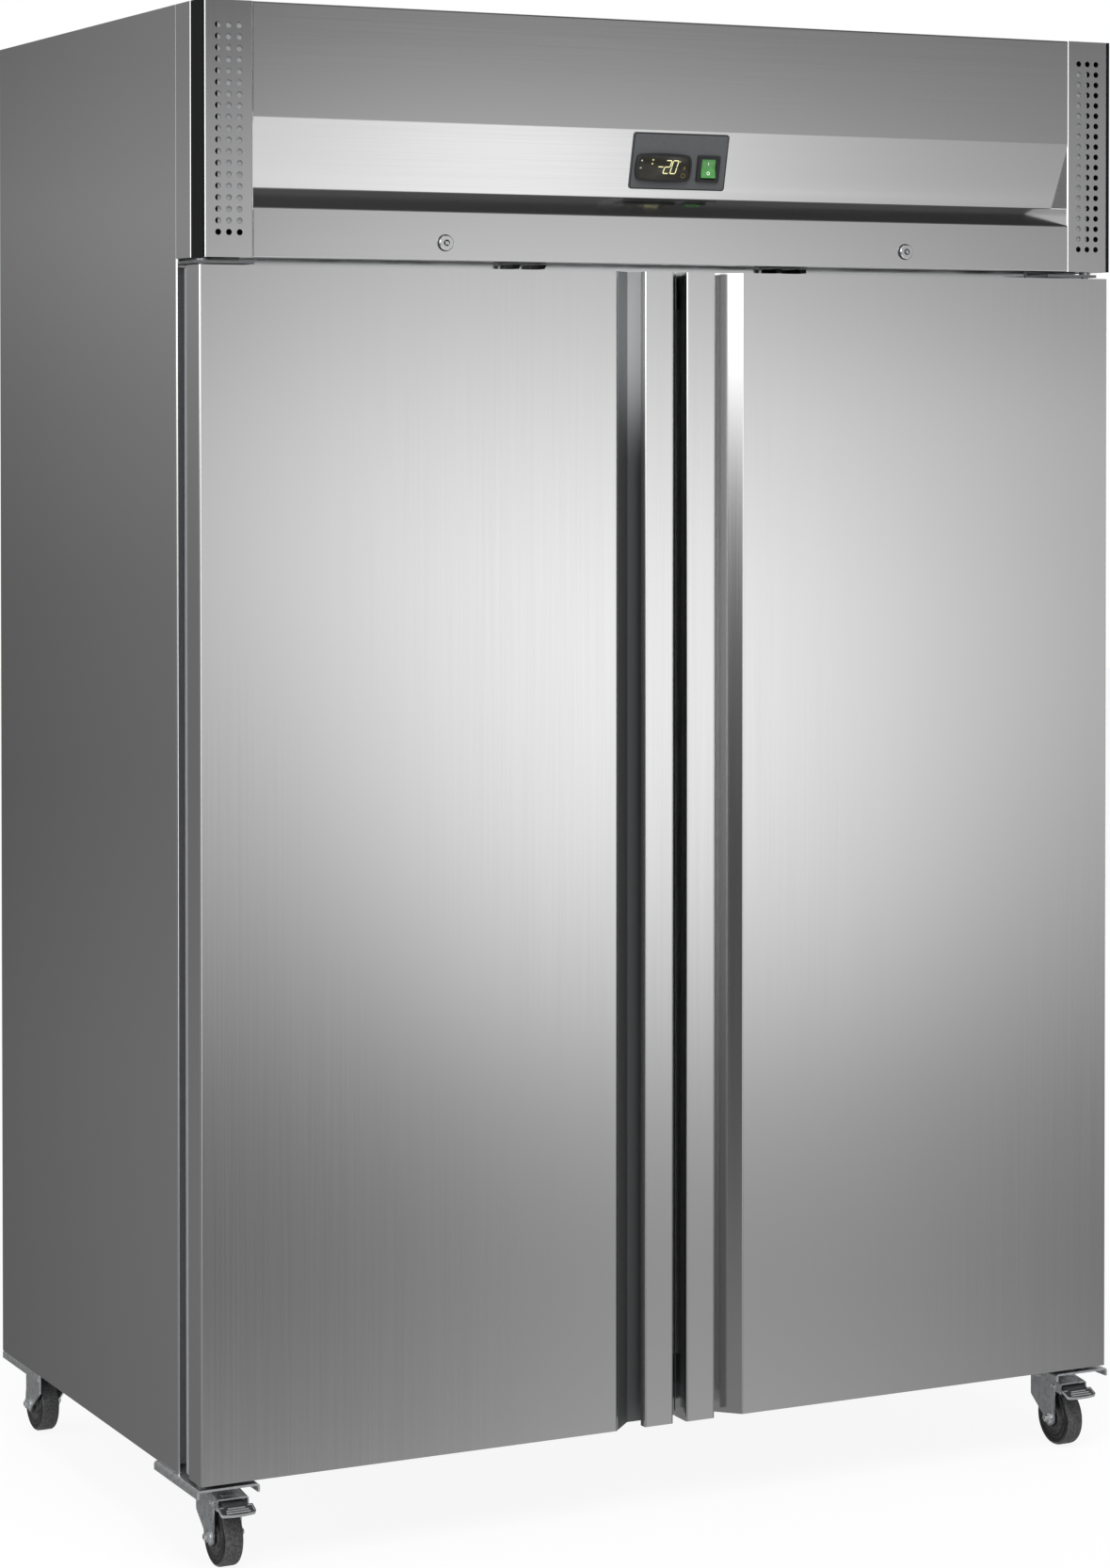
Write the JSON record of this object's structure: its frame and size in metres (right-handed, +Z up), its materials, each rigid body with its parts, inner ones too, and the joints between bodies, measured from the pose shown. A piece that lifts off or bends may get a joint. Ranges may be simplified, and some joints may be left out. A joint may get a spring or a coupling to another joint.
{
  "type": "upright freezer cabinet",
  "caption": "Upright stainless freezer cabinet: hinged doors with grip grooves and key locks, a hood with controller and power switch, wire shelves inside, braked swivel casters below.",
  "frame": {"origin": "on the floor under the middle of the part's box: midway between the sides, and midway between the back panel and the front tips of the brake pedals", "axes": "+Z up from the floor, +Y from the doors to the back, +X to the right as seen from the front"},
  "size_m": [1.39, 0.827, 2.01],
  "materials": {
    "stainless": "fine vertical brushing, satin",
    "galvanised": "galvanised sheet, dull",
    "liner_steel": "satin",
    "foam": "rigid polyurethane foam",
    "coated_wire": "plastic-coated wire",
    "black_plastic": "fine texture",
    "grey_film": "printed film, satin",
    "green_lens": "tinted, lit from inside",
    "chrome": "plated",
    "gasket": "soft, matte",
    "hinge_steel": "plated",
    "zinc": "bright zinc plate",
    "caster_rubber": "matte tread, smoother sides",
    "black_paint": "satin black",
    "fins": "mill finish",
    "copper": "drawn copper"
  },
  "bodies": {
    "cabinet": {"back_panel": "galvanised", "base_panel": "galvanised", "caster_heads": "zinc", "caster_plates": "zinc", "compressor": "black_paint", "condenser": "fins", "control_plate": "grey_film", "controller": "black_plastic", "door_switches": "black_plastic", "evaporator": "fins", "evaporator_cover": "liner_steel", "fan_motors": "black_paint", "fan_shroud": "galvanised", "fascia_panel": "stainless", "hinge_brackets": "hinge_steel", "hinge_pins": "hinge_steel", "hood_cheeks": "stainless", "hood_end_caps": "black_plastic", "inner_liner": "liner_steel", "insulation": "foam", "lock_barrels": "chrome", "machine_deck": "galvanised", "mullion": "liner_steel", "refrigerant_pipes": "copper", "shelf_pilasters": "liner_steel", "shelf_runners": "liner_steel", "shelves_left": "coated_wire", "shelves_right": "coated_wire", "side_panel_left": "stainless", "side_panel_right": "stainless", "switch_frame": "black_plastic", "top_cover": "galvanised", "vent_columns": "stainless"},
    "door_left": {"door_skin_left": "stainless", "door_core_left": "foam", "door_caps_left": "black_plastic", "door_liner_left": "black_plastic", "door_gasket_left": "gasket", "door_handle_left": "stainless"},
    "lock_left": {"lock_plug_left": "chrome"},
    "door_right": {"door_skin_right": "stainless", "door_core_right": "foam", "door_caps_right": "black_plastic", "door_liner_right": "black_plastic", "door_gasket_right": "gasket", "door_handle_right": "stainless"},
    "lock_right": {"lock_plug_right": "chrome"},
    "rocker": {"power_rocker": "green_lens"},
    "caster_front_left": {"caster_fork_front_left": "zinc"},
    "wheel_front_left": {"caster_wheel_front_left": "caster_rubber"},
    "caster_front_right": {"caster_fork_front_right": "zinc"},
    "wheel_front_right": {"caster_wheel_front_right": "caster_rubber"},
    "caster_rear_left": {"caster_fork_rear_left": "zinc"},
    "wheel_rear_left": {"caster_wheel_rear_left": "caster_rubber"},
    "caster_rear_right": {"caster_fork_rear_right": "zinc"},
    "wheel_rear_right": {"caster_wheel_rear_right": "caster_rubber"},
    "pedal_front_left": {"brake_pedal_front_left": "black_plastic"},
    "pedal_front_right": {"brake_pedal_front_right": "black_plastic"},
    "fan_condenser": {"condenser_fan": "black_plastic"},
    "fan_evaporator": {"evaporator_fan": "black_plastic"}
  },
  "joints": [
    {"name": "door_left_hinge", "type": "hinge", "parent": "cabinet", "child": "door_left", "pos_m": [-0.674, -0.3645, 0.9], "axis": [0, 0, -1], "range_deg": [0, 100]},
    {"name": "lock_left_turn", "type": "hinge", "parent": "cabinet", "child": "lock_left", "pos_m": [-0.35, -0.4, 1.707], "axis": [0, 1, 0], "range_deg": [0, 90]},
    {"name": "door_right_hinge", "type": "hinge", "parent": "cabinet", "child": "door_right", "pos_m": [0.674, -0.3645, 0.9], "axis": [0, 0, 1], "range_deg": [0, 100]},
    {"name": "lock_right_turn", "type": "hinge", "parent": "cabinet", "child": "lock_right", "pos_m": [0.35, -0.4, 1.707], "axis": [0, -1, 0], "range_deg": [0, 90]},
    {"name": "power_switch", "type": "hinge", "parent": "cabinet", "child": "rocker", "pos_m": [0.044, -0.39217, 1.8147], "axis": [1, 0, 0], "range_deg": [0, 18]},
    {"name": "swivel_front_left", "type": "hinge", "parent": "cabinet", "child": "caster_front_left", "pos_m": [-0.643, -0.3185, 0.09], "axis": [0, 0, 1], "continuous": true},
    {"name": "roll_front_left", "type": "hinge", "parent": "caster_front_left", "child": "wheel_front_left", "pos_m": [-0.643, -0.3545, 0.04], "axis": [1, 0, 0], "continuous": true},
    {"name": "brake_front_left", "type": "hinge", "parent": "caster_front_left", "child": "pedal_front_left", "pos_m": [-0.643, -0.3695, 0.0875], "axis": [1, 0, 0], "range_deg": [0, 12]},
    {"name": "swivel_front_right", "type": "hinge", "parent": "cabinet", "child": "caster_front_right", "pos_m": [0.643, -0.3185, 0.09], "axis": [0, 0, 1], "continuous": true},
    {"name": "roll_front_right", "type": "hinge", "parent": "caster_front_right", "child": "wheel_front_right", "pos_m": [0.643, -0.3545, 0.04], "axis": [1, 0, 0], "continuous": true},
    {"name": "brake_front_right", "type": "hinge", "parent": "caster_front_right", "child": "pedal_front_right", "pos_m": [0.643, -0.3695, 0.0875], "axis": [1, 0, 0], "range_deg": [0, 12]},
    {"name": "swivel_rear_left", "type": "hinge", "parent": "cabinet", "child": "caster_rear_left", "pos_m": [-0.643, 0.3365, 0.09], "axis": [0, 0, 1], "continuous": true},
    {"name": "roll_rear_left", "type": "hinge", "parent": "caster_rear_left", "child": "wheel_rear_left", "pos_m": [-0.643, 0.3725, 0.04], "axis": [1, 0, 0], "continuous": true},
    {"name": "swivel_rear_right", "type": "hinge", "parent": "cabinet", "child": "caster_rear_right", "pos_m": [0.643, 0.3365, 0.09], "axis": [0, 0, 1], "continuous": true},
    {"name": "roll_rear_right", "type": "hinge", "parent": "caster_rear_right", "child": "wheel_rear_right", "pos_m": [0.643, 0.3725, 0.04], "axis": [1, 0, 0], "continuous": true},
    {"name": "spin_condenser_fan", "type": "hinge", "parent": "cabinet", "child": "fan_condenser", "pos_m": [-0.19, -0.12, 1.8192], "axis": [0, 1, 0], "continuous": true},
    {"name": "spin_evaporator_fan", "type": "hinge", "parent": "cabinet", "child": "fan_evaporator", "pos_m": [0, -0.1, 1.55], "axis": [0, 1, 0], "continuous": true}
  ]
}
